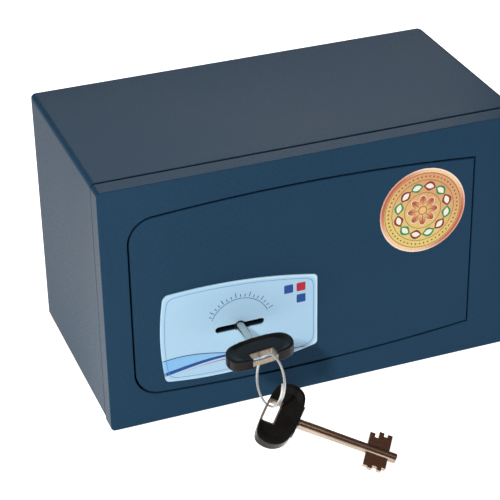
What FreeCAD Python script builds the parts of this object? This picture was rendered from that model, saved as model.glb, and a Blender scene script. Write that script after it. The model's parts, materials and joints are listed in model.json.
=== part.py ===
import FreeCAD, Part
import os, math
from FreeCAD import Vector as V

os.makedirs("parts", exist_ok=True)

# ---------------------------------------------------------------- dimensions
# millimetres; X to the right seen from the front, Y to the back, Z up.
# Origin: middle of the footprint, on the base.  Rest pose: door closed,
# bolts drawn back, key in the lock, spare key hanging on the ring.
W, H, D = 250.0, 150.0, 134.0          # whole box
T_FRONT = 12.0                         # thick front plate (frame and door)
T_SHEET = 2.0                          # folded body sheet
Y_F = -D / 2.0                         # front face
Y_P = Y_F + T_FRONT                    # rear of the front plate
Y_B = D / 2.0                          # back face
INSET = 0.5                            # body stands in from the plate
R_PLATE = 2.5                          # plate corners
R_BEND = 3.2                           # body bends, outside
SEAM = 1.5                             # chamfer on the rear edge of the plate
R_LIP = 1.7                            # rolled front edge of the body, the other side of the seam
BACK_INSET = 1.0                       # back panel stands in from the body

GAP = 1.2                              # cut line round the door
LINE_L, LINE_R = -109.3, 94.2          # middle of the cut line
ARC_X, ARC_R = -12.0, 1130.0           # bowed top and bottom edges
ARC_TOP, ARC_BOT = 133.2, 15.8
R_DOOR = 15.0                          # round corners on the lock side
DOOR_BACK = Y_P - 0.3                  # door stops short of the stop tabs

PIV_X, PIV_Y = 67.7, -61.0             # concealed vertical pivots
PIN_R = 2.5
BUSH_RI, BUSH_RO = 2.55, 4.0

ANCHOR_X, ANCHOR_R = 75.0, 5.0         # anchor holes, back and base
ANCHOR_Z, ANCHOR_Y = 75.0, 10.0

KX, KZ = -47.85, 51.8                  # key axis
SLOT_L, SLOT_H, SLOT_R = 29.1, 4.0, 3.3

FACE_T = 0.8                           # faceplate
SEAL_X, SEAL_Z, SEAL_R, SEAL_T = 62.7, 101.2, 26.2, 0.15

# lock, behind the door
CASE_X0, CASE_X1 = -98.0, -8.0
CASE_Z0, CASE_Z1 = 21.5, 82.0
CASE_BASE = 1.2
CASE_WALL = 1.5
CASE_Y1 = -31.4                        # open rim of the case
COVER_T = 1.5
BOLT_R, BOLT_DZ, BOLT_Y = 5.5, 22.5, -48.3
BOLT_TIP, BOLT_END = -104.5, -66.0
THROW = 12.0
PLATE_Y0, PLATE_Y1 = -45.5, -43.0      # bolt plate
STUMP_X, STUMP_R = -66.0, 2.5
LEVERS, LEVER_T, LEVER_GAP, LEVER_Y0 = 5, 1.4, 0.3, -42.4
LIFT = 2.5                             # lever travel each way
BIT_SWEEP = 12.4                       # clear radius round the turning bits
POSTS = [(-91.0, KZ), (KX + 16.0, KZ + 19.0), (KX + 16.0, KZ - 19.0)]
POST_R = 3.0

# key: u across the bow, v along the shaft to the tip, w through the bow
KEY_OUT = 18.7                         # bow stands this far out of the door
KEY_L, SHAFT_R = 56.0, 2.7
BIT_V0, BIT_V1, BIT_T = 38.9, 51.4, 2.4
BOW_T = 6.2
SLANT = 0.13                           # the bow leans by this much of its width
LOOP_T = 3.0
BOW_U = 0.6                            # the bow stands this far off the shaft line

RING_R, WIRE_R = 14.17, 0.68
RING_C = V(-47.3, -112.5, 43.1)
RING_N = V(0.966, 0.136, -0.22)

# spare key: hangs by its loop on the ring with its tip near the ground
SPARE_O = V(-38.261, -130.047, 23.855)
SPARE_AZ, SPARE_EL, SPARE_ROLL = -27.72, -20.3, 67.0


# ------------------------------------------------------------------- helpers
def box(x0, x1, y0, y1, z0, z1):
    return Part.makeBox(x1 - x0, y1 - y0, z1 - z0, V(x0, y0, z0))


def cyl(r, p, d, length):
    return Part.makeCylinder(r, length, p, d)


def ycyl(r, x, z, y0, y1):
    return Part.makeCylinder(r, y1 - y0, V(x, y0, z), V(0, 1, 0))


def prism(points, y0, y1):
    """Polygon in X,Z taken from y0 to y1."""
    w = Part.makePolygon([V(x, y0, z) for x, z in points] + [V(points[0][0], y0, points[0][1])])
    return Part.Face(w).extrude(V(0, y1 - y0, 0))


def along(shape, axis, pick=None):
    """Straight edges parallel to an axis."""
    out = []
    for e in shape.Edges:
        if len(e.Vertexes) != 2:
            continue
        d = e.Vertexes[1].Point.sub(e.Vertexes[0].Point)
        if d.Length < 1e-6:
            continue
        d.normalize()
        if abs(abs(d.dot(axis)) - 1) < 1e-6 and (pick is None or pick(e.CenterOfMass)):
            out.append(e)
    return out


def at_y(shape, y, pick=None):
    """Edges lying in the plane of constant y."""
    out = []
    for e in shape.Edges:
        b = e.BoundBox
        if abs(b.YMin - y) < 1e-4 and abs(b.YMax - y) < 1e-4 and (pick is None or pick(e)):
            out.append(e)
    return out


def group(shapes):
    return Part.makeCompound(shapes)


def save(name, shape):
    solids = shape.Solids
    if not solids or not shape.isValid():
        raise RuntimeError(name + " is not a valid solid")
    out = solids[0] if len(solids) == 1 else Part.makeCompound(solids)
    out.exportStep("parts/" + name + ".step")


def arc_z(x, off):
    """Heights of the bowed edges at x, moved outward by off."""
    s = math.sqrt((ARC_R + off) ** 2 - (x - ARC_X) ** 2)
    return ARC_BOT + ARC_R - s, ARC_TOP - ARC_R + s


def door_blank(off, y0, y1):
    """Door outline, moved outward by off, taken from y0 to y1."""
    xl, xr = LINE_L - off, LINE_R + off
    bl, tl = arc_z(xl, off)
    br, tr = arc_z(xr, off)
    bm, tm = arc_z(ARC_X, off)
    p = lambda x, z: V(x, y0, z)
    edges = [
        Part.Arc(p(xl, tl), p(ARC_X, tm), p(xr, tr)).toShape(),
        Part.makeLine(p(xr, tr), p(xr, br)),
        Part.Arc(p(xr, br), p(ARC_X, bm), p(xl, bl)).toShape(),
        Part.makeLine(p(xl, bl), p(xl, tl)),
    ]
    s = Part.Face(Part.Wire(edges)).extrude(V(0, y1 - y0, 0))
    left = along(s, V(0, 1, 0), lambda c: c.x < 0)
    return s.makeFillet(R_DOOR + off, left)


def round_tube(x0, x1, z0, z1, r, y0, y1):
    s = box(x0, x1, y0, y1, z0, z1)
    return s.makeFillet(r, along(s, V(0, 1, 0)))


def keyhole(y0, y1):
    h = SLOT_H / 2.0
    half = SLOT_L / 2.0 - h
    s = box(KX - half, KX + half, y0, y1, KZ - h, KZ + h)
    s = s.fuse([ycyl(h, KX - half, KZ, y0, y1), ycyl(h, KX + half, KZ, y0, y1), ycyl(SLOT_R, KX, KZ, y0, y1)])
    return s.removeSplitter()


# ---------------------------------------------------------------------- body
# Folded body: one sheet bent round four corners.
shell = round_tube(-W / 2 + INSET, W / 2 - INSET, 0, H - INSET, R_BEND, Y_P, Y_B - T_SHEET)
inner = round_tube(-W / 2 + INSET + T_SHEET, W / 2 - INSET - T_SHEET, T_SHEET, H - INSET - T_SHEET,
                   R_BEND - T_SHEET, Y_P - 5, Y_B + 5)
shell = shell.cut(inner)
outer_front = at_y(shell, Y_P, lambda e: abs(e.CenterOfMass.x) > W / 2 - 2.0 or e.CenterOfMass.z < 1.0
                   or e.CenterOfMass.z > H - 2.0)
shell = shell.makeFillet(R_LIP, outer_front)
outer_back = at_y(shell, Y_B - T_SHEET, lambda e: abs(e.CenterOfMass.x) > W / 2 - 2.0 or e.CenterOfMass.z < 1.0
                  or e.CenterOfMass.z > H - 2.0)
shell = shell.makeChamfer(0.3, outer_back)
for sx in (-1, 1):
    shell = shell.cut(cyl(ANCHOR_R, V(sx * ANCHOR_X, ANCHOR_Y, -2), V(0, 0, 1), 8))
save("body_shell", shell)

back = round_tube(-W / 2 + BACK_INSET, W / 2 - BACK_INSET, BACK_INSET - 0.5, H - BACK_INSET, R_BEND - 0.5,
                  Y_B - T_SHEET, Y_B)
for sx in (-1, 1):
    back = back.cut(ycyl(ANCHOR_R, sx * ANCHOR_X, ANCHOR_Z, Y_B - 6, Y_B + 4))
save("back_panel", back)

# Front frame: thick plate, the door is cut out of its middle.
frame = round_tube(-W / 2, W / 2, 0, H, R_PLATE, Y_F, Y_P)
frame = frame.makeChamfer(SEAM, at_y(frame, Y_P))
frame = frame.makeFillet(0.5, at_y(frame, Y_F))
frame = frame.cut(door_blank(GAP / 2, Y_F - 5, Y_P + 5))
frame = frame.makeChamfer(0.25, at_y(frame, Y_F, lambda e: abs(e.CenterOfMass.x) < 118 and 8 < e.CenterOfMass.z < 142))
low, top = arc_z(PIV_X, 0.0)
PIN_TOP0, PIN_TOP1 = 121.0, 142.0
PIN_LOW0, PIN_LOW1 = 7.0, 27.0
frame = frame.cut(cyl(PIN_R, V(PIV_X, PIV_Y, 110), V(0, 0, 1), PIN_TOP1 - 110))
frame = frame.cut(cyl(PIN_R, V(PIV_X, PIV_Y, PIN_LOW0), V(0, 0, 1), 30))
save("front_frame", frame)

pins = [cyl(PIN_R, V(PIV_X, PIV_Y, PIN_TOP0), V(0, 0, 1), PIN_TOP1 - PIN_TOP0),
        cyl(PIN_R, V(PIV_X, PIV_Y, PIN_LOW0), V(0, 0, 1), PIN_LOW1 - PIN_LOW0)]
pins = [p.makeChamfer(0.4, [e for e in p.Edges if e.Closed and abs(e.BoundBox.ZMin - z) < 1e-4])
        for p, z in zip(pins, (PIN_TOP0, PIN_LOW1))]
save("hinge_pins", group(pins))

BALL_R = 2.4
save("hinge_ball", Part.makeSphere(BALL_R, V(PIV_X, PIV_Y, PIN_LOW1 + BALL_R)))

tab_t = box(-62, -40, Y_P, Y_P + 3, 128.6, 142)
tab_b = box(8, 30, Y_P, Y_P + 3, 6, 20.0)
tabs = []
for t in (tab_t, tab_b):
    tabs.append(t.makeFillet(2.0, along(t, V(0, 1, 0))))
save("door_stop_tabs", group(tabs))

# ---------------------------------------------------------------------- door
door = door_blank(-GAP / 2, Y_F, DOOR_BACK)
door = door.makeFillet(0.25, at_y(door, Y_F))
door_low, door_top = arc_z(PIV_X, -GAP / 2)
BORE_END = PIN_LOW1 + 2 * BALL_R + 0.1
door = door.cut(cyl(BUSH_RO, V(PIV_X, PIV_Y, door_top - 12), V(0, 0, 1), 20))
door = door.cut(cyl(BUSH_RO, V(PIV_X, PIV_Y, 5), V(0, 0, 1), BORE_END - 5))
door = door.cut(keyhole(Y_F - 2, DOOR_BACK + 2))
SCREWS = [(-80.0, KZ + 9.5), (-80.0, KZ - 9.5), (-16.0, KZ + 24.0), (-16.0, KZ - 24.0)]
for x, z in SCREWS:
    door = door.cut(ycyl(2.5, x, z, DOOR_BACK - 8, DOOR_BACK + 1))
save("door_plate", door)


def bush(z0, z1):
    return cyl(BUSH_RO, V(PIV_X, PIV_Y, z0), V(0, 0, 1), z1 - z0).cut(
        cyl(BUSH_RI, V(PIV_X, PIV_Y, z0 - 1), V(0, 0, 1), z1 - z0 + 2))


save("hinge_bushes", group([bush(door_top - 12, door_top - 0.3), bush(door_low + 0.3, BORE_END)]))

# Faceplate round the keyhole: bowed top, bottom and left edges.
FP_L, FP_R, FP_AX, FP_AZ, FP_AR, FP_LR = -94.3, -1.3, -67.5, 29.7, 315.0, 160.0


def face_z(x):
    return FP_AZ - FP_AR + math.sqrt(FP_AR ** 2 - (x - FP_AX) ** 2)


zl = face_z(FP_L + 2.4)
xl = FP_L + FP_LR - math.sqrt(FP_LR ** 2 - zl ** 2)
zb = -26.5                             # the bottom edge rises more to the left
xb = FP_L + FP_LR - math.sqrt(FP_LR ** 2 - zb ** 2)
zr = face_z(FP_R)
fp = lambda x, z: V(x, Y_F - FACE_T, KZ + z)
face = Part.Face(Part.Wire([
    Part.Arc(fp(xl, zl), fp(FP_AX, FP_AZ), fp(FP_R, zr)).toShape(),
    Part.makeLine(fp(FP_R, zr), fp(FP_R, -zr)),
    Part.Arc(fp(FP_R, -zr), fp(-58.0, -29.2), fp(xb, zb)).toShape(),
    Part.Arc(fp(xb, zb), fp(FP_L, 0), fp(xl, zl)).toShape(),
])).extrude(V(0, FACE_T, 0))
face = face.makeFillet(4.2, along(face, V(0, 1, 0), lambda c: c.x < -50 and c.z > KZ))
face = face.makeFillet(3.2, along(face, V(0, 1, 0), lambda c: c.x < -50 and c.z < KZ - 15
                                  and abs(c.z - KZ - zb) < 0.01))
face = face.makeFillet(2.4, along(face, V(0, 1, 0), lambda c: c.x > -3 and abs(abs(c.z - KZ) - zr) < 0.01))
face = face.makeFillet(0.3, at_y(face, Y_F - FACE_T))
face = face.cut(keyhole(Y_F - 3, Y_F + 3))
save("faceplate", face)

save("round_seal", ycyl(SEAL_R, SEAL_X, SEAL_Z, Y_F - SEAL_T, Y_F))

# ---------------------------------------------------------------------- lock
case = box(CASE_X0, CASE_X1, DOOR_BACK, CASE_Y1, CASE_Z0, CASE_Z1)
case = case.makeFillet(2.0, along(case, V(0, 1, 0)))
hollow = box(CASE_X0 + CASE_WALL, CASE_X1 - CASE_WALL, DOOR_BACK + CASE_BASE, CASE_Y1 + 5,
             CASE_Z0 + CASE_WALL, CASE_Z1 - CASE_WALL)
hollow = hollow.makeFillet(0.8, along(hollow, V(0, 1, 0)))
case = case.cut(hollow)
HUB_R = 14.0
case = case.cut(ycyl(HUB_R + 0.05, KX, KZ, DOOR_BACK - 1, DOOR_BACK + 3))
for s in (-1, 1):
    case = case.cut(cyl(BOLT_R + 0.05, V(CASE_X0 - 2, BOLT_Y, KZ + s * BOLT_DZ), V(1, 0, 0), 6))
for x, z in SCREWS:
    case = case.cut(ycyl(2.5, x, z, DOOR_BACK - 1, DOOR_BACK + 3))
save("lock_case", case)

cover = box(CASE_X0, CASE_X1, CASE_Y1, CASE_Y1 + COVER_T, CASE_Z0, CASE_Z1)
cover = cover.makeFillet(2.0, along(cover, V(0, 1, 0)))
cover = cover.cut(ycyl(SHAFT_R + 0.1, KX, KZ, CASE_Y1 - 1, CASE_Y1 + 5))
for x, z in POSTS:
    cover = cover.cut(ycyl(2.0, x, z, CASE_Y1 - 1, CASE_Y1 + 5))
save("lock_cover", cover)

posts = []
for x, z in POSTS:
    p = ycyl(POST_R, x, z, DOOR_BACK + CASE_BASE, CASE_Y1)
    posts.append(p.cut(ycyl(2.0, x, z, CASE_Y1 - 9, CASE_Y1 + 1)))
save("lock_posts", group(posts))


def screw(x, z, y_seat, shank, r, head_r, head_h):
    """Pan head with a cross slot on y_seat, head towards +Y, shank towards -Y."""
    f = y_seat + head_h
    s = ycyl(head_r, x, z, y_seat, f).fuse(ycyl(r, x, z, y_seat - shank, y_seat)).removeSplitter()
    s = s.makeFillet(0.6, [e for e in at_y(s, f)])
    for a in (0, 90):
        slot = box(x - head_r * 0.62, x + head_r * 0.62, f - 1.1, f + 1, z - 0.45, z + 0.45)
        slot.rotate(V(x, f, z), V(0, 1, 0), a)
        s = s.cut(slot)
    return s


save("lock_cover_screws", group([screw(x, z, CASE_Y1 + COVER_T, 8.0, 2.0, 3.6, 2.2) for x, z in POSTS]))
save("lock_mount_screws", group([screw(x, z, DOOR_BACK + CASE_BASE, CASE_BASE + 7.5, 2.5, 4.2, 2.2)
                                 for x, z in SCREWS]))

# Curtain: slotted disc that turns with the key.
curtain = ycyl(HUB_R, KX, KZ, DOOR_BACK + 0.3, DOOR_BACK + CASE_BASE + 0.3).fuse(
    ycyl(16.0, KX, KZ, DOOR_BACK + CASE_BASE + 0.3, DOOR_BACK + CASE_BASE + 2.8)).removeSplitter()
curtain = curtain.cut(box(KX - 12.5, KX + 12.5, -60, -45, KZ - 1.5, KZ + 1.5))
curtain = curtain.cut(ycyl(SHAFT_R + 0.1, KX, KZ, -60, -45))
save("lock_curtain", curtain)

# Bolt work: two round bolts riveted to one sliding plate.
BX0, BX1 = -84.0, -14.5
bp = prism([(BX0, KZ - 27.5), (BX1, KZ - 27.5), (BX1, KZ + 27.5), (BX0, KZ + 27.5), (BX0, KZ + 9.0),
            (-73.0, KZ + 9.0), (-73.0, KZ - 9.0), (BX0, KZ - 9.0)], PLATE_Y0, PLATE_Y1)
win = box(KX - BIT_SWEEP, KX + BIT_SWEEP + THROW, PLATE_Y0 - 2, PLATE_Y1 + 2, KZ - BIT_SWEEP, KZ + BIT_SWEEP)
win = win.makeFillet(6.0, along(win, V(0, 1, 0)))
win = win.fuse([ycyl(BIT_SWEEP, KX, KZ, PLATE_Y0 - 2, PLATE_Y1 + 2),
                ycyl(BIT_SWEEP, KX + THROW, KZ, PLATE_Y0 - 2, PLATE_Y1 + 2)])
bp = bp.cut(win)
for x, z in POSTS[1:]:
    r = POST_R + 0.3
    slot = box(x, x + THROW, PLATE_Y0 - 2, PLATE_Y1 + 2, z - r, z + r).fuse(
        [ycyl(r, x, z, PLATE_Y0 - 2, PLATE_Y1 + 2), ycyl(r, x + THROW, z, PLATE_Y0 - 2, PLATE_Y1 + 2)])
    bp = bp.cut(slot)
RIVETS = [(-74.0, KZ + BOLT_DZ), (-74.0, KZ - BOLT_DZ)]
for x, z in RIVETS:
    bp = bp.cut(ycyl(2.0, x, z, PLATE_Y0 - 2, PLATE_Y1 + 2))
bp = bp.cut(ycyl(STUMP_R - 0.5, STUMP_X, KZ, PLATE_Y0 - 2, PLATE_Y1 + 2))
save("bolt_plate", bp)

bolts = []
for s in (-1, 1):
    z = KZ + s * BOLT_DZ
    b = cyl(BOLT_R, V(BOLT_TIP, BOLT_Y, z), V(1, 0, 0), BOLT_END - BOLT_TIP)
    tip = [e for e in b.Edges if abs(e.BoundBox.XMax - BOLT_TIP) < 1e-4 and abs(e.BoundBox.XMin - BOLT_TIP) < 1e-4]
    b = b.makeChamfer(1.2, tip)
    b = b.cut(box(BX0 - 1.0, BOLT_END + 5, PLATE_Y0, PLATE_Y0 + 20, z - 8, z + 8))
    b = b.cut(ycyl(2.0, -74.0, z, PLATE_Y0 - 5, PLATE_Y0 + 1))
    bolts.append(b)
save("locking_bolts", group(bolts))

rivets = []
for x, z in RIVETS:
    rivets.append(ycyl(2.0, x, z, PLATE_Y0 - 5, PLATE_Y1))
save("bolt_rivets", group(rivets))

LEVER_Y1 = LEVER_Y0 + LEVERS * LEVER_T + (LEVERS - 1) * LEVER_GAP
stump = ycyl(STUMP_R, STUMP_X, KZ, PLATE_Y1, LEVER_Y1 + 0.4).fuse(ycyl(STUMP_R - 0.5, STUMP_X, KZ, PLATE_Y0, PLATE_Y1))
save("bolt_stump", stump.removeSplitter())

# Levers: flat plates with a key window, forks on the posts and a gate for the stump.
LX0, LX1, LZ = -86.0, -22.0, 23.0
SPRING_X = -70.0


def lever(k):
    y0 = LEVER_Y0 + k * (LEVER_T + LEVER_GAP)
    y1 = y0 + LEVER_T
    s = box(LX0, LX1, y0, y1, KZ - LZ, KZ + LZ)
    s = s.makeFillet(3.0, along(s, V(0, 1, 0)))
    w = BIT_SWEEP + LIFT + 0.4
    k1 = box(KX - BIT_SWEEP, KX + BIT_SWEEP, y0 - 1, y1 + 1, KZ - w, KZ + w)
    k1 = k1.makeFillet(8.0, along(k1, V(0, 1, 0)))
    k2 = box(KX - BIT_SWEEP, KX + BIT_SWEEP, y0 - 1, y1 + 1, KZ - 5, KZ + 5)
    s = s.cut(k1.fuse(k2))
    s = s.cut(ycyl(BIT_SWEEP, KX, KZ + LIFT, y0 - 1, y1 + 1)).cut(ycyl(BIT_SWEEP, KX, KZ - LIFT, y0 - 1, y1 + 1))
    for x, z in POSTS[1:]:
        r = POST_R + 0.05
        zi = z - math.copysign(r + LIFT + 0.4, z - KZ)
        z0, z1 = min(zi, KZ + math.copysign(40, z - KZ)), max(zi, KZ + math.copysign(40, z - KZ))
        s = s.cut(box(x - r, x + r, y0 - 1, y1 + 1, z0, z1))
    g = STUMP_R + 0.3
    gate = box(STUMP_X - THROW, STUMP_X, y0 - 1, y1 + 1, KZ - g, KZ + g)
    for x in (STUMP_X, STUMP_X - THROW):
        gate = gate.fuse(box(x - g - 0.3, x + g + 0.3, y0 - 1, y1 + 1, KZ - g - LIFT, KZ + g + LIFT))
    s = s.cut(gate)
    # each lever is notched differently on its left end, as cut for its own step of the key
    nz = KZ - 16.0 + 6.0 * k
    s = s.cut(box(LX0 - 1, LX0 + 1.8, y0 - 1, y1 + 1, nz - 1.2, nz + 1.2))
    return s


for k in range(LEVERS):
    save("lever_%d" % (k + 1), lever(k))

# One small coil spring over each lever, between its top edge and the case.
SPR_R, SPR_WIRE = 0.55, 0.15
spr_z0, spr_z1 = KZ + LZ + 0.02, CASE_Z1 - CASE_WALL - 0.02
springs = []
for k in range(LEVERS):
    yc = LEVER_Y0 + k * (LEVER_T + LEVER_GAP) + LEVER_T / 2
    hgt = spr_z1 - spr_z0 - 2 * SPR_WIRE
    helix = Part.makeHelix(hgt / 6.0, hgt, SPR_R)
    prof = Part.Wire([Part.makeCircle(SPR_WIRE, V(SPR_R, 0, 0), V(0, 1, 0))])
    spring = Part.Wire(helix).makePipeShell([prof], True, True)
    spring.translate(V(SPRING_X, yc, spr_z0 + SPR_WIRE))
    springs.append(Part.Solid(spring) if spring.ShapeType != "Solid" else spring)
save("lever_springs", group(springs))

# ---------------------------------------------------------------------- keys
# Local frame of a key: X = u (across the bow), Y = v (to the tip), Z = w.
# Half outline of the bow before it is leaned over, from the shaft side to the loop side.
BOW_HALF = [(0.0, -0.4), (5.0, -0.6), (9.0, -1.0), (12.7, -1.7), (15.9, -3.0), (18.2, -5.2), (19.6, -8.1), (20.0, -11.3),
            (19.4, -14.6), (18.0, -17.2), (15.2, -19.0), (11.1, -19.8), (6.0, -20.25), (0.0, -20.4)]
BOW = BOW_HALF + [(-u, v) for u, v in BOW_HALF[-2:0:-1]]
COLLAR_U, COLLAR_V = 9.0, -0.3         # raised middle of the shaft side
LOOP_U, LOOP_V = 7.7, -12.1            # opening in the bow that shows the loop
HOLE_U, HOLE_V0, HOLE_V1 = 6.6, -19.05, -12.8


def lean(points, w):
    return [V(u + BOW_U, v + SLANT * u, w) for u, v in points]


def slab(points, t):
    """Leaned-over polygon of thickness t, middle on w = 0."""
    p = lean(points, -t / 2.0)
    return Part.Face(Part.makePolygon(p + p[:1])).extrude(V(0, 0, t))


def outline(scale, w, cv=-10.6):
    c = Part.BSplineCurve()
    c.interpolate(lean([(u * scale, cv + (v - cv) * scale) for u, v in BOW], w), PeriodicFlag=True)
    return Part.Wire([c.toShape()])


def key_bow():
    h = BOW_T / 2.0
    s = Part.Face(outline(1.0, -h)).extrude(V(0, 0, BOW_T))
    rim = [e for e in s.Edges if abs(e.BoundBox.ZMax - e.BoundBox.ZMin) < 1e-4]
    s = s.makeFillet(0.5, rim)
    collar = slab([(-COLLAR_U, -5.0), (COLLAR_U, -5.0), (COLLAR_U, COLLAR_V), (-COLLAR_U, COLLAR_V)], BOW_T - 1.0)
    collar = collar.makeFillet(0.5, along(collar, V(0, 0, 1), lambda c: c.y > -3.0))
    s = s.fuse(collar)
    for sg in (1, -1):
        dish = Part.makeLoft([outline(0.90, sg * (h + 0.02)), outline(0.72, sg * (h - 0.9))], True)
        s = s.cut(dish)
    s = s.cut(slab([(-LOOP_U, -30.0), (LOOP_U, -30.0), (LOOP_U, LOOP_V), (-LOOP_U, LOOP_V)], 10.0))
    s = s.cut(key_loop())
    s = s.cut(shaft())
    return s


def key_loop():
    e = LOOP_U + 1.5                   # ears held in the plastic
    s = slab([(-e, -10.8), (e, -10.8), (e, -17.8), (LOOP_U, -18.3), (LOOP_U, -20.05), (3.5, -20.35), (-3.5, -20.35),
              (-LOOP_U, -20.05), (-LOOP_U, -18.3), (-e, -17.8)], LOOP_T)
    hole = slab([(-HOLE_U, HOLE_V0), (HOLE_U, HOLE_V0), (HOLE_U, HOLE_V1), (-HOLE_U, HOLE_V1)], 8.0)
    hole = hole.makeFillet(0.9, along(hole, V(0, 0, 1)))
    return s.cut(hole)


def shaft():
    tang = Part.makeBox(5.0, 8.0, LOOP_T, V(-2.5, -8.0, -LOOP_T / 2))
    s = Part.makeCylinder(SHAFT_R, KEY_L, V(0, 0, 0), V(0, 1, 0))
    s = s.makeFillet(0.6, [e for e in s.Edges if e.Closed and abs(e.BoundBox.YMin - KEY_L) < 1e-4])
    return s.fuse(tang)


def key_blade():
    t = BIT_T / 2.0
    top = [(0, 10.1), (3.0, 10.1), (3.0, 7.9), (5.0, 7.9), (5.0, 12.0), (7.8, 12.0), (7.8, 9.9), (9.8, 9.9), (9.8, 12.0), (12.5, 12.0)]
    low = [(12.5, 9.0), (10.3, 9.0), (10.3, 11.2), (8.0, 11.2), (8.0, 9.6), (5.2, 9.6), (5.2, 11.6), (2.8, 11.6), (2.8, 10.8), (0, 10.8)]
    pts = [(h, BIT_V0 + v) for v, h in top] + [(-h, BIT_V0 + v) for v, h in low]
    w = Part.makePolygon([V(u, v, -t) for u, v in pts + pts[:1]])
    bits = Part.Face(w).extrude(V(0, 0, BIT_T))
    return shaft().fuse(bits).removeSplitter()


def place(shape, origin, u, v, w):
    m = FreeCAD.Matrix(u.x, v.x, w.x, origin.x, u.y, v.y, w.y, origin.y, u.z, v.z, w.z, origin.z, 0, 0, 0, 1)
    s = shape.copy()
    s.Placement = FreeCAD.Placement(m)
    return s


key_o = V(KX, Y_F - KEY_OUT, KZ)
axes = (V(1, 0, 0), V(0, 1, 0), V(0, 0, 1))
bow, loop, blade = key_bow(), key_loop(), key_blade()
save("key_blade", place(blade, key_o, *axes))
save("key_bow", place(bow, key_o, *axes))
save("key_loop", place(loop, key_o, *axes))

# Wire ring whose two ends lie side by side over part of the turn.
n = V(RING_N)
n.normalize()
e1 = V(0, 0, 1).sub(V(n).multiply(n.z))
e1.normalize()
e2 = n.cross(e1)


def ring_point(phi, off=0.0):
    a = math.radians(phi)
    return RING_C.add(V(e2).multiply(RING_R * math.cos(a))).add(V(e1).multiply(RING_R * math.sin(a))).add(V(n).multiply(off))


torus = Part.makeTorus(RING_R, WIRE_R, RING_C, n)
LAP0, LAP = 23.0, 79.0                 # where the second end lies beside the first
tangent = V(e2).multiply(-math.sin(math.radians(LAP0))).add(V(e1).multiply(math.cos(math.radians(LAP0))))
disc = Part.Face(Part.Wire([Part.makeCircle(WIRE_R, ring_point(LAP0, -1.26), tangent)]))
lap = disc.revolve(RING_C, n, LAP)
save("key_ring", torus.fuse(lap).removeSplitter())

# Spare key, hanging by its loop on the ring.
az, el, ro = (math.radians(a) for a in (SPARE_AZ, SPARE_EL, SPARE_ROLL))
sv = V(math.cos(el) * math.cos(az), math.cos(el) * math.sin(az), math.sin(el))
u0 = V(0, 0, 1).sub(V(sv).multiply(sv.z))
u0.normalize()
w0 = u0.cross(sv)
su = V(u0).multiply(math.cos(ro)).add(V(w0).multiply(math.sin(ro)))
sw = su.cross(sv)
save("spare_key_blade", place(blade, SPARE_O, su, sv, sw))
save("spare_key_bow", place(bow, SPARE_O, su, sv, sw))
save("spare_key_loop", place(loop, SPARE_O, su, sv, sw))
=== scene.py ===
import json
import math
import bpy
from mathutils import Matrix, Vector


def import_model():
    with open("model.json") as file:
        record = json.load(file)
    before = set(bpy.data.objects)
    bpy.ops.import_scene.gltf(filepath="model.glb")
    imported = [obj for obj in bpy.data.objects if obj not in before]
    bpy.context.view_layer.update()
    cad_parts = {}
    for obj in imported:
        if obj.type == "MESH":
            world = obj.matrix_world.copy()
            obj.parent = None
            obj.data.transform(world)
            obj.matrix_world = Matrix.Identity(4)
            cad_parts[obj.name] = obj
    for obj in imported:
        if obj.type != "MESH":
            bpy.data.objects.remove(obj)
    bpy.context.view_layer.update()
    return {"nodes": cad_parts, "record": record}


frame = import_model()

NODES = frame["nodes"]

# ------------------------------------------------------------------ key places
MM = 0.001
KX, KZ = -47.85 * MM, 51.8 * MM            # key axis on the front
SEAL_X, SEAL_Z, SEAL_R = 62.7, 101.2, 26.2  # millimetres


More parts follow.
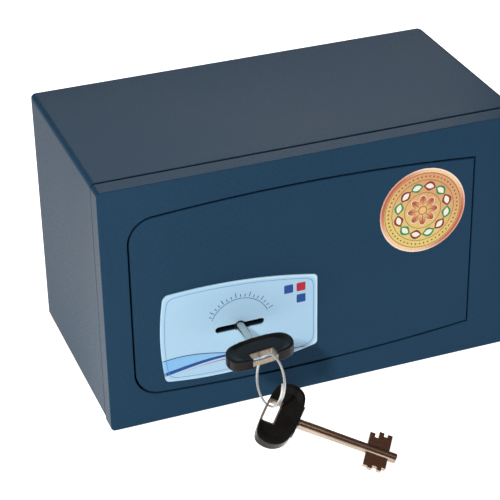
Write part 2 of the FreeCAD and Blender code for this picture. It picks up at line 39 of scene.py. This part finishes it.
# ------------------------------------------------------------ node tree helper
class Graph:
    """Short names for the shader nodes used below."""

    def __init__(self, name):
        self.mat = bpy.data.materials.new(name)
        self.mat.use_nodes = True
        self.tree = self.mat.node_tree
        self.tree.nodes.clear()
        self.out = self.tree.nodes.new("ShaderNodeOutputMaterial")
        self.bsdf = self.tree.nodes.new("ShaderNodeBsdfPrincipled")
        self.tree.links.new(self.bsdf.outputs[0], self.out.inputs[0])
        self._obj = None

    def put(self, socket, value):
        if hasattr(value, "is_linked"):
            self.tree.links.new(value, socket)
        else:
            socket.default_value = value

    def set(self, **values):
        for k, v in values.items():
            self.put(self.bsdf.inputs[k.replace("_", " ")], v)

    def coord(self):
        if self._obj is None:
            self._obj = self.tree.nodes.new("ShaderNodeTexCoord").outputs["Object"]
        return self._obj

    def mapped(self, scale=(1, 1, 1), rot=(0, 0, 0), loc=(0, 0, 0), source=None):
        n = self.tree.nodes.new("ShaderNodeMapping")
        self.put(n.inputs["Vector"], source or self.coord())
        n.inputs["Scale"].default_value = scale
        n.inputs["Rotation"].default_value = rot
        n.inputs["Location"].default_value = loc
        return n.outputs[0]

    def noise(self, scale, detail=2.0, rough=0.5, vector=None, distortion=0.0):
        n = self.tree.nodes.new("ShaderNodeTexNoise")
        self.put(n.inputs["Vector"], vector or self.coord())
        n.inputs["Scale"].default_value = scale
        n.inputs["Detail"].default_value = detail
        n.inputs["Roughness"].default_value = rough
        n.inputs["Distortion"].default_value = distortion
        return n.outputs[0]

    def cells(self, scale, vector=None, feature="F1"):
        n = self.tree.nodes.new("ShaderNodeTexVoronoi")
        n.feature = feature
        self.put(n.inputs["Vector"], vector or self.coord())
        n.inputs["Scale"].default_value = scale
        return n.outputs["Distance"]

    def xyz(self, vector):
        n = self.tree.nodes.new("ShaderNodeSeparateXYZ")
        self.put(n.inputs[0], vector)
        return n.outputs[0], n.outputs[1], n.outputs[2]

    def m(self, op, a, b=None, c=None, clamp=False):
        n = self.tree.nodes.new("ShaderNodeMath")
        n.operation = op
        n.use_clamp = clamp
        for s, v in zip(n.inputs, (a, b, c)):
            if v is not None:
                self.put(s, v)
        return n.outputs[0]

    def ramp(self, x, lo, hi, a=0.0, b=1.0, smooth=True):
        n = self.tree.nodes.new("ShaderNodeMapRange")
        n.interpolation_type = "SMOOTHSTEP" if smooth else "LINEAR"
        self.put(n.inputs["Value"], x)
        self.put(n.inputs["From Min"], lo)
        self.put(n.inputs["From Max"], hi)
        self.put(n.inputs["To Min"], a)
        self.put(n.inputs["To Max"], b)
        return n.outputs[0]

    def mix(self, fac, a, b, blend="MIX"):
        n = self.tree.nodes.new("ShaderNodeMix")
        n.data_type = "RGBA"
        n.blend_type = blend
        n.clamp_factor = True
        self.put(n.inputs[0], fac)
        for s, v in ((n.inputs[6], a), (n.inputs[7], b)):
            self.put(s, v if hasattr(v, "is_linked") else tuple(v) + ((1.0,) if len(v) == 3 else ()))
        return n.outputs[2]

    def bump(self, height, distance, strength=1.0, normal=None):
        n = self.tree.nodes.new("ShaderNodeBump")
        n.inputs["Strength"].default_value = strength
        n.inputs["Distance"].default_value = distance
        self.put(n.inputs["Height"], height)
        if normal is not None:
            self.put(n.inputs["Normal"], normal)
        return n.outputs[0]


def rgb(r, g, b):
    """Screen colour 0-255 as a linear colour."""
    f = lambda c: c / 12.92 if c <= 0.04045 else ((c + 0.055) / 1.055) ** 2.4
    return tuple(f(c / 255.0) for c in (r, g, b)) + (1.0,)


# ------------------------------------------------------------------- materials
def powder_coat():
    """Dark petrol-blue powder coat with a fine orange-peel skin; painted shade inside the keyhole and in the groove
    behind the front plate.
    """
    g = Graph("powder_coat")
    cloud = g.noise(9.0, 3.0, 0.5)
    grain = g.noise(820.0, 3.0, 0.65)
    tone = g.ramp(cloud, 0.3, 0.7)
    base = g.mix(tone, (0.0105, 0.0345, 0.0670), (0.0120, 0.0378, 0.0725))
    speck = g.ramp(grain, 0.40, 0.72)
    base = g.mix(g.m("MULTIPLY", speck, 0.45), base, (0.0165, 0.0510, 0.0935))
    x, y, z = g.xyz(g.coord())
    # painted shade: inside the keyhole, between the front and back faces of the door plate, the coat is mixed to a
    # darker copy of itself where the slot lies in shade
    painted_keyhole_shade = g.m("MULTIPLY", g.ramp(g.m("ABSOLUTE", g.m("SUBTRACT", x, KX)), 0.0165, 0.0160),
               g.ramp(g.m("ABSOLUTE", g.m("SUBTRACT", z, KZ)), 0.0046, 0.0042))
    painted_keyhole_shade = g.m("MULTIPLY", painted_keyhole_shade, g.m("MULTIPLY", g.ramp(y, -0.06695, -0.0662), g.ramp(y, -0.0540, -0.0546)))
    base = g.mix(painted_keyhole_shade, base, (0.0060, 0.0160, 0.0270))
    # painted shade: a dark band on the body just behind the front plate, where shade falls in the groove between the
    # parts; the roughness is raised over the same band
    skin = g.m("MAXIMUM", g.ramp(g.m("ABSOLUTE", x), 0.1208, 0.1216), g.ramp(z, 0.1458, 0.1466))
    painted_seam_shade = g.m("MULTIPLY", g.m("MULTIPLY", g.ramp(y, -0.0567, -0.0563), g.ramp(y, -0.0536, -0.0543)), skin)
    base = g.mix(painted_seam_shade, base, (0.0030, 0.0060, 0.0095))
    rough = g.ramp(g.m("ADD", g.m("MULTIPLY", grain, 0.6), g.m("MULTIPLY", cloud, 0.4)), 0.3, 0.7, 0.25, 0.36)
    peel = g.noise(520.0, 2.0, 0.5)
    h = g.m("ADD", g.m("MULTIPLY", peel, 0.55), g.m("MULTIPLY", g.noise(1400.0, 2.0, 0.6), 0.45))
    rough = g.m("MAXIMUM", rough, painted_seam_shade)
    g.set(Base_Color=base, Roughness=rough, IOR=1.081, Normal=g.bump(h, 0.00010, 0.60))
    return g.mat


def circle(p, q, r):
    """Centre and radius of the circle through three points."""
    a, b = q[0] - p[0], q[1] - p[1]
    c, d = r[0] - p[0], r[1] - p[1]
    e, f = (a * a + b * b) / 2.0, (c * c + d * d) / 2.0
    k = a * d - b * c
    x, y = (d * e - b * f) / k, (a * f - c * e) / k
    return p[0] + x, p[1] + y, math.hypot(x, y)


LOW_X, LOW_Z, LOW_R = circle((46.55, -22.742), (-10.15, -29.2), (-44.24, -26.5))


def plate_print():
    """Glossy light-blue keyhole plate with plain line art: a wave band, a graduated arc and small tiles."""
    g = Graph("keyhole_plate")
    x, y, z = g.xyz(g.coord())
    X = g.m("MULTIPLY", g.m("SUBTRACT", x, KX), 1000.0)      # millimetres from the key axis
    Z = g.m("MULTIPLY", g.m("SUBTRACT", z, KZ), 1000.0)

    def length(a, b):
        return g.m("SQRT", g.m("ADD", g.m("MULTIPLY", a, a), g.m("MULTIPLY", b, b)))

    # distance in from the edge of the plate
    ax = g.m("ADD", X, 19.65)
    top = g.m("SUBTRACT", 315.0, length(ax, g.m("ADD", Z, 285.3)))
    low = g.m("SUBTRACT", LOW_R, length(g.m("SUBTRACT", X, LOW_X), g.m("SUBTRACT", Z, LOW_Z)))
    right = g.m("SUBTRACT", 46.55, X)
    left = g.m("SUBTRACT", 160.0, length(g.m("SUBTRACT", X, 113.55), Z))
    edge = g.m("SMOOTH_MIN", g.m("SMOOTH_MIN", top, low, 3.0), g.m("SMOOTH_MIN", left, right, 3.0), 7.0)

    # base blue with a faint shift from bottom to top, and painted shade: the left end is mixed toward a darker blue
    # to even out the light falling from the left
    blue_with_painted_shade = g.mix(g.ramp(Z, -26.0, 26.0), rgb(149, 183, 205), rgb(149, 184, 208))
    blue_with_painted_shade = g.mix(g.ramp(X, -46.0, -8.0, 0.30, 0.0), blue_with_painted_shade, rgb(145, 177, 197))
    navy, blue, red = rgb(13, 46, 94), rgb(11, 64, 130), rgb(162, 18, 42)

    # wave band along the lower part
    w1 = g.m("ADD", -15.5, g.m("MULTIPLY", 3.6, g.m("SINE", g.m("MULTIPLY", g.m("ADD", X, 60.0), 0.062))))
    w2 = g.m("ADD", -20.5, g.m("MULTIPLY", 3.0, g.m("SINE", g.m("MULTIPLY", g.m("ADD", X, 38.0), 0.055))))
    d1 = g.m("SUBTRACT", Z, w1)
    d2 = g.m("SUBTRACT", Z, w2)
    band = g.m("MULTIPLY", g.ramp(d1, 0.1, -0.1), g.ramp(d2, -0.1, 0.1))
    col = g.mix(g.m("MULTIPLY", band, g.ramp(X, -46.0, 40.0, 0.75, 0.05)), blue_with_painted_shade, rgb(96, 158, 208))
    line1 = g.ramp(g.m("ABSOLUTE", d1), 0.36, 0.20)
    col = g.mix(g.m("MULTIPLY", line1, g.ramp(X, 44.0, -20.0)), col, navy)
    thick = g.ramp(X, -46.0, 36.0, 1.15, 0.25)
    line2 = g.ramp(g.m("ABSOLUTE", d2), g.m("ADD", thick, 0.08), g.m("SUBTRACT", thick, 0.08))
    col = g.mix(line2, col, blue)
    d3 = g.m("SUBTRACT", d2, -2.3)
    line3 = g.ramp(g.m("ABSOLUTE", d3), 0.42, 0.26)
    col = g.mix(g.m("MULTIPLY", line3, g.ramp(X, -44.0, 6.0)), col, red)

    # graduated arc above the keyhole
    r = length(X, Z)
    ang = g.m("MULTIPLY", g.m("ARCTAN2", Z, X), 180.0 / math.pi)
    near = g.m("PINGPONG", ang, 4.0)
    tick = g.ramp(g.m("MULTIPLY", g.m("MULTIPLY", near, r), math.pi / 180.0), 0.30, 0.14)
    far = g.m("PINGPONG", ang, 12.0)
    major = g.ramp(g.m("MULTIPLY", g.m("MULTIPLY", far, r), math.pi / 180.0), 0.5, 0.4)
    reach = g.m("ADD", 20.4, g.m("MULTIPLY", major, 1.2))
    ring = g.m("MULTIPLY", g.ramp(r, 18.55, 18.65), g.ramp(r, g.m("ADD", reach, 0.05), g.m("SUBTRACT", reach, 0.05)))
    span = g.m("MULTIPLY", g.ramp(ang, 22.0, 23.0), g.ramp(ang, 158.0, 157.0))
    col = g.mix(g.m("MULTIPLY", g.m("MULTIPLY", tick, ring), span), col, navy)
    arc = g.m("MULTIPLY", g.ramp(g.m("ABSOLUTE", g.m("SUBTRACT", r, 17.7)), 0.24, 0.12), span)
    col = g.mix(arc, col, navy)

    # three plain tiles at the right
    def tile(cx, cz, half):
        qx = g.m("SUBTRACT", g.m("ABSOLUTE", g.m("SUBTRACT", X, cx)), half - 0.7)
        qz = g.m("SUBTRACT", g.m("ABSOLUTE", g.m("SUBTRACT", Z, cz)), half - 0.7)
        d = g.m("SUBTRACT", length(g.m("MAXIMUM", qx, 0.0), g.m("MAXIMUM", qz, 0.0)), 0.7)
        return g.ramp(d, 0.08, -0.08)

    col = g.mix(tile(36.6, 17.0, 2.7), col, red)
    col = g.mix(tile(36.6, 9.6, 2.7), col, blue)
    col = g.mix(tile(29.2, 17.0, 2.7), col, blue)

    # pale edge and hairline inside it
    col = g.mix(g.m("MULTIPLY", g.ramp(g.m("ABSOLUTE", g.m("SUBTRACT", edge, 2.4)), 0.28, 0.14), 0.8), col, rgb(70, 120, 176))
    col = g.mix(g.m("MULTIPLY", g.ramp(edge, 1.3, 0.7), g.ramp(X, -40.0, 20.0, 0.25, 1.0)), col, rgb(172, 203, 220))
    fine = g.noise(900.0, 2.0, 0.5)
    col = g.mix(g.ramp(fine, 0.35, 0.7), col, (0.95, 0.96, 0.97), "MULTIPLY")
    rough = g.ramp(g.noise(120.0, 3.0, 0.6), 0.3, 0.7, 0.14, 0.20)
    g.set(Base_Color=col, Roughness=rough, IOR=1.28, Normal=g.bump(g.noise(260.0, 2.0, 0.5), 0.00002, 0.4))
    return g.mat


def seal_print():
    """Gold foil seal: coppery rim with painted highlights, beads, a ring of leaf shapes and a rosette on fine rays.
    """
    g = Graph("gold_seal")
    x, y, z = g.xyz(g.coord())
    X = g.m("SUBTRACT", g.m("MULTIPLY", x, 1000.0), SEAL_X)
    Z = g.m("SUBTRACT", g.m("MULTIPLY", z, 1000.0), SEAL_Z)

    def ink(r, g, b):
        return tuple(0.70 * c for c in rgb(r, g, b)[:3]) + (1.0,)

    def length(a, b):
        return g.m("SQRT", g.m("ADD", g.m("MULTIPLY", a, a), g.m("MULTIPLY", b, b)))

    r = length(X, Z)
    ang = g.m("ARCTAN2", X, Z)                                # from the top, clockwise
    lean = g.m("ADD", g.m("MULTIPLY", X, 0.4), g.m("MULTIPLY", Z, 0.92))
    gold = g.mix(g.ramp(lean, -22.0, 22.0), ink(226, 206, 118), ink(214, 158, 106))
    rays = g.m("MULTIPLY", g.m("ADD", g.m("SINE", g.m("ADD", g.m("MULTIPLY", ang, 72.0), g.m("MULTIPLY", r, 0.9))), 1.0), 0.5)
    gold = g.mix(g.m("MULTIPLY", rays, 0.16), gold, ink(196, 140, 66))
    wine, leaf, cream = ink(122, 26, 36), ink(14, 136, 84), ink(246, 238, 220)

    # ring of leaf shapes, green and wine in turn, each with a pale heart
    swing = g.m("SINE", g.m("MULTIPLY", ang, 6.0))
    tall = g.m("MULTIPLY", g.m("ABSOLUTE", swing), 2.9)
    d = g.m("ABSOLUTE", g.m("SUBTRACT", r, 15.2))
    shape = g.m("SUBTRACT", d, tall)
    tint = g.mix(g.ramp(swing, -0.02, 0.02), leaf, wine)
    gold = g.mix(g.ramp(shape, 0.14, -0.10), gold, tint)
    gold = g.mix(g.ramp(g.m("SUBTRACT", d, g.m("SUBTRACT", tall, 1.35)), 0.10, -0.10), gold, cream)
    for rad in (11.2, 19.0):
        gold = g.mix(g.ramp(g.m("ABSOLUTE", g.m("SUBTRACT", r, rad)), 0.26, 0.12), gold, ink(150, 84, 48))

    # rosette in the middle
    petal = g.m("MULTIPLY", g.m("ADD", 0.62, g.m("MULTIPLY", g.m("ABSOLUTE", g.m("COSINE", g.m("MULTIPLY", ang, 4.0))), 0.38)), 9.2)
    e = g.m("SUBTRACT", r, petal)
    blush = g.mix(g.ramp(r, 2.0, 9.0), ink(232, 190, 120), ink(178, 70, 52))
    gold = g.mix(g.ramp(e, 0.50, 0.30), gold, cream)
    gold = g.mix(g.ramp(e, 0.06, -0.10), gold, blush)
    vein = g.m("MULTIPLY", g.m("ABSOLUTE", g.m("SINE", g.m("MULTIPLY", ang, 4.0))), r)
    gold = g.mix(g.m("MULTIPLY", g.ramp(vein, 0.9, 0.5), g.m("MULTIPLY", g.ramp(e, -0.9, -1.2), g.ramp(r, 3.0, 3.3))), gold, wine)
    gold = g.mix(g.ramp(g.m("ABSOLUTE", g.m("SUBTRACT", r, 2.5)), 0.30, 0.16), gold, wine)

    # beads, and rim with painted highlights
    bead_n = 52.0
    bc = g.m("SUBTRACT", g.m("FRACT", g.m("MULTIPLY", ang, bead_n / (2 * math.pi))), 0.5)
    bd = length(g.m("MULTIPLY", bc, 2 * math.pi * 21.2 / bead_n), g.m("SUBTRACT", r, 21.2))
    gold = g.mix(g.ramp(bd, 0.58, 0.44), gold, ink(116, 70, 36))
    gold = g.mix(g.ramp(g.m("ABSOLUTE", g.m("SUBTRACT", r, 23.2)), 0.24, 0.12), gold, ink(140, 66, 44))
    # painted highlight: around the circle the rim colour runs from dark copper to near white at two opposite sides,
    # standing in for glints of light on the foil
    painted_rim_glint = g.m("SINE", g.m("ADD", g.m("MULTIPLY", ang, 2.0), 0.5))
    rim = g.mix(g.ramp(painted_rim_glint, -0.9, 0.95), ink(186, 92, 66), ink(244, 204, 160))
    gold = g.mix(g.ramp(r, 23.5, 24.0), gold, rim)
    gold = g.mix(g.ramp(r, 25.3, 25.7), gold, g.mix(g.ramp(painted_rim_glint, -0.9, 0.9), ink(224, 170, 140), ink(250, 232, 214)))
    rough = g.ramp(g.noise(300.0, 3.0, 0.6), 0.3, 0.7, 0.26, 0.34)
    emboss = g.m("ADD", g.m("MULTIPLY", rays, 0.5), g.m("MULTIPLY", g.noise(700.0, 2.0, 0.5), 0.5))
    g.set(Base_Color=gold, Roughness=rough, Metallic=0.25, IOR=1.45, Normal=g.bump(emboss, 0.00003, 0.4))
    return g.mat


def metal(name, light, dark, rough=(0.18, 0.30), stretch=(1, 1, 1), fine=900.0, depth=0.00001, stain=0.35, cloud=40.0, metallic=1.0, turn=None):
    """Plain metal with drawn or turned marks along one direction and a faint stain."""
    g = Graph(name)
    way = None
    if turn:
        way = g.mapped(rot=(0, math.radians(turn[1]), 0), source=g.mapped(rot=(0, 0, math.radians(turn[0]))))
    lines = g.noise(fine, 3.0, 0.6, vector=g.mapped(stretch, source=way))
    blot = g.noise(cloud, 3.0, 0.55)
    tone = g.m("ADD", g.m("MULTIPLY", lines, 1.0 - stain), g.m("MULTIPLY", blot, stain))
    base = g.mix(g.ramp(tone, 0.32, 0.68), dark, light)
    g.set(Base_Color=base, Metallic=metallic, Roughness=g.ramp(tone, 0.3, 0.7, rough[1], rough[0]),
          Normal=g.bump(lines, depth, 0.5))
    return g.mat


def zinc_sheet():
    """Zinc-plated pressed sheet: faint crystals and a warm-cool tint."""
    g = Graph("zinc_sheet")
    flake = g.cells(240.0)
    tint = g.noise(26.0, 3.0, 0.6)
    base = g.mix(g.ramp(tint, 0.35, 0.65), (0.50, 0.52, 0.55), (0.60, 0.57, 0.49))
    base = g.mix(g.m("MULTIPLY", g.ramp(flake, 0.1, 0.7), 0.35), base, (0.72, 0.72, 0.72))
    lines = g.noise(1400.0, 2.0, 0.6, vector=g.mapped((0.06, 1, 1)))
    rough = g.ramp(g.m("ADD", g.m("MULTIPLY", lines, 0.5), g.m("MULTIPLY", flake, 0.5)), 0.2, 0.7, 0.28, 0.42)
    g.set(Base_Color=base, Metallic=1.0, Roughness=rough, Normal=g.bump(lines, 0.000012, 0.4))
    return g.mat


def bow_plastic():
    """Black moulded plastic with a fine spark-eroded skin."""
    g = Graph("bow_plastic")
    grain = g.noise(3200.0, 2.0, 0.65)
    cloud = g.noise(70.0, 3.0, 0.5)
    base = g.mix(g.ramp(cloud, 0.3, 0.7), (0.0056, 0.0056, 0.0053), (0.0088, 0.0087, 0.0082))
    base = g.mix(g.m("MULTIPLY", g.ramp(grain, 0.55, 0.8), 0.5), base, (0.020, 0.0195, 0.0185))
    rough = g.ramp(g.m("ADD", g.m("MULTIPLY", grain, 0.6), g.m("MULTIPLY", cloud, 0.4)), 0.3, 0.7, 0.20, 0.32)
    g.set(Base_Color=base, Roughness=rough, IOR=1.24, Normal=g.bump(grain, 0.00003, 0.5))
    return g.mat


PAINT = powder_coat()
MATERIALS = {
    "body_paint": PAINT,
    "pin_steel": metal("ground_steel", (0.58, 0.58, 0.59), (0.40, 0.40, 0.41), (0.16, 0.28), (1, 1, 0.08), 1600.0),
    "bush_bronze": metal("bearing_bronze", (0.62, 0.42, 0.20), (0.42, 0.27, 0.12), (0.26, 0.40), (1, 1, 0.1), 1500.0),
    "faceplate": plate_print(),
    "seal": seal_print(),
    "lock_steel": zinc_sheet(),
    "screw_zinc": metal("zinc_screw", (0.66, 0.65, 0.60), (0.44, 0.43, 0.40), (0.24, 0.40), (1, 0.2, 1), 1500.0, stain=0.5, cloud=260.0),
    "bolt_steel": metal("turned_bolt", (0.72, 0.72, 0.73), (0.54, 0.54, 0.55), (0.10, 0.20), (1, 0.06, 0.06), 2400.0),
    "plate_steel": metal("stamped_steel", (0.50, 0.50, 0.50), (0.34, 0.34, 0.35), (0.30, 0.46), (0.05, 1, 1), 1400.0),
    "lever_brass": metal("stamped_brass", (0.74, 0.55, 0.24), (0.52, 0.36, 0.14), (0.26, 0.40), (0.06, 1, 1), 1300.0),
    "spring_steel": metal("spring_wire", (0.46, 0.46, 0.47), (0.30, 0.30, 0.31), (0.22, 0.34), (1, 1, 1), 1800.0),
    "key_nickel": metal("key_nickel", (0.85, 0.82, 0.77), (0.62, 0.585, 0.54), (0.20, 0.32), (1, 0.05, 1), 2200.0, depth=0.000006),
    "bow_plastic": bow_plastic(),
}
LOOP = metal("loop_nickel", (0.40, 0.335, 0.265), (0.28, 0.225, 0.17), (0.24, 0.36), (1, 1, 0.08), 1800.0, depth=0.000006, metallic=0.7)
RING = metal("ring_wire", (0.63, 0.665, 0.665), (0.46, 0.485, 0.485), (0.28, 0.40), (1, 1, 1), 1800.0, depth=0.000006, metallic=0.55)
SPARE = metal("spare_nickel", (0.53, 0.45, 0.37), (0.27, 0.215, 0.165), (0.18, 0.32), (0.03, 1, 1), 1100.0, depth=0.000006, stain=0.2,
              turn=(27.72, -20.3))
RECORD_SLOT = {s["node"]: s["material_slot"] for s in frame["record"]["subparts"]}
for name, ob in NODES.items():
    ob.data.materials.clear()
    own = LOOP if name.endswith("key_loop") else MATERIALS[RECORD_SLOT[name]]
    own = {"key_ring": RING, "spare_key_blade": SPARE}.get(name, own)
    ob.data.materials.append(own)


# ----------------------------------------------------------------------- stage
def floor():
    """Pale light table, brighter to the front, with a fall-off along the left side."""
    g = Graph("pale_floor")
    n = g.noise(6.0, 3.0, 0.5)
    x, y, z = g.xyz(g.coord())
    fall = g.ramp(g.m("ADD", y, g.m("MULTIPLY", g.m("ADD", x, 0.125), 2.7)), -0.085, 0.030, 2.40, 0.34)
    fall = g.m("MAXIMUM", g.m("MULTIPLY", fall, g.ramp(x, -0.190, -0.135, 1.0, 0.50)), 0.34)
    fall = g.ramp(x, -0.34, -0.22, 0.50, fall)
    side = g.m("MAXIMUM", g.ramp(x, -0.145, -0.105), g.ramp(y, 0.55, 0.95))
    plain = g.ramp(y, 0.0, 0.24, 0.86, 1.0)
    glow = g.m("ADD", g.m("MULTIPLY", plain, side), g.m("MULTIPLY", fall, g.m("SUBTRACT", 1.0, side)))
    g.set(Base_Color=g.mix(g.ramp(n, 0.3, 0.7), (0.86, 0.86, 0.86), (0.88, 0.88, 0.88)), Roughness=0.85, IOR=1.3,
          Emission_Color=g.mix(side, (1.10, 1.00, 0.87), (1.0, 1.0, 1.0)), Emission_Strength=glow)
    me = bpy.data.meshes.new("floor")
    s = 6.0
    z = -0.0006
    me.from_pydata([(-s, -s, z), (s, -s, z), (s, s, z), (-s, s, z)], [], [(0, 1, 2, 3)])
    ob = bpy.data.objects.new("floor", me)
    bpy.context.scene.collection.objects.link(ob)
    me.materials.append(g.mat)
    return ob


def world():
    w = bpy.data.worlds.new("studio")
    bpy.context.scene.world = w
    w.use_nodes = True
    t = w.node_tree
    t.nodes.clear()
    out = t.nodes.new("ShaderNodeOutputWorld")
    bg = t.nodes.new("ShaderNodeBackground")
    t.links.new(bg.outputs[0], out.inputs[0])
    co = t.nodes.new("ShaderNodeTexCoord").outputs["Generated"]
    sep = t.nodes.new("ShaderNodeSeparateXYZ")
    t.links.new(co, sep.inputs[0])

    def ramp(sock, lo, hi, a, b):
        n = t.nodes.new("ShaderNodeMapRange")
        n.interpolation_type = "SMOOTHSTEP"
        t.links.new(sock, n.inputs["Value"])
        for k, v in (("From Min", lo), ("From Max", hi), ("To Min", a), ("To Max", b)):
            n.inputs[k].default_value = v
        return n.outputs[0]

    # pale wall behind, brighter higher up; dim warm room in front and above
    back = ramp(sep.outputs[1], 0.36, 0.72, 0.0, 1.0)
    rise = ramp(sep.outputs[2], 0.06, 0.46, 0.10, 1.15)
    mul = t.nodes.new("ShaderNodeMath")
    mul.operation = "MULTIPLY"
    t.links.new(back, mul.inputs[0])
    t.links.new(rise, mul.inputs[1])
    mix = t.nodes.new("ShaderNodeMix")
    mix.data_type = "RGBA"
    mix.clamp_factor = False
    t.links.new(mul.outputs[0], mix.inputs[0])
    mix.inputs[6].default_value = (0.120, 0.047, 0.029, 1.0)
    mix.inputs[7].default_value = (0.50, 0.50, 0.50, 1.0)
    t.links.new(mix.outputs[2], bg.inputs["Color"])
    bg.inputs["Strength"].default_value = 1.0


def area(name, at, to, size, power, colour=(1, 1, 1), glossy=True, diffuse=True):
    d = bpy.data.lights.new(name, "AREA")
    d.shape = "RECTANGLE"
    d.size, d.size_y = size
    d.energy = power
    d.color = colour
    ob = bpy.data.objects.new(name, d)
    bpy.context.scene.collection.objects.link(ob)
    ob.location = at
    ob.rotation_mode = "QUATERNION"
    ob.rotation_quaternion = (Vector(to) - Vector(at)).to_track_quat("-Z", "Y")
    ob.visible_glossy = glossy
    ob.visible_diffuse = diffuse
    return ob


floor()
world()
area("overhead", (-0.20, -0.80, 1.9), (-0.20, -0.80, 0), (1.7, 1.6), 7.0, (1.0, 0.99, 0.97))
area("key_light", (-1.86, -1.76, 2.02), (0, 0, 0.06), (0.26, 0.26), 97.0, (0.98, 1.0, 1.0), glossy=False)
area("rear_card", (0.15, 0.44, 0.62), (0.15, -0.40, 0.54), (0.50, 0.56), 4.1, (1.0, 0.97, 0.93), diffuse=False)
area("left_fill", (-1.7, 0.2, 0.9), (0, 0, 0.06), (0.85, 0.70), 1.0, (1.0, 0.98, 0.96))

# ---------------------------------------------------------------------- camera
cd = bpy.data.cameras.new("camera")
cd.lens, cd.sensor_width, cd.sensor_fit = 129.188, 36.0, "HORIZONTAL"
cd.clip_start, cd.clip_end = 0.05, 50.0
cam = bpy.data.objects.new("camera", cd)
bpy.context.scene.collection.objects.link(cam)
cam.matrix_world = Matrix(((0.93406043, 0.19121614, -0.30160820, -0.334875),
                           (-0.35676795, 0.46242877, -0.81171193, -0.858362),
                           (-0.01574011, 0.86579214, 0.50015620, 0.585969),
                           (0.0, 0.0, 0.0, 1.0)))
bpy.context.scene.camera = cam
bpy.context.scene.view_settings.view_transform = "Standard"
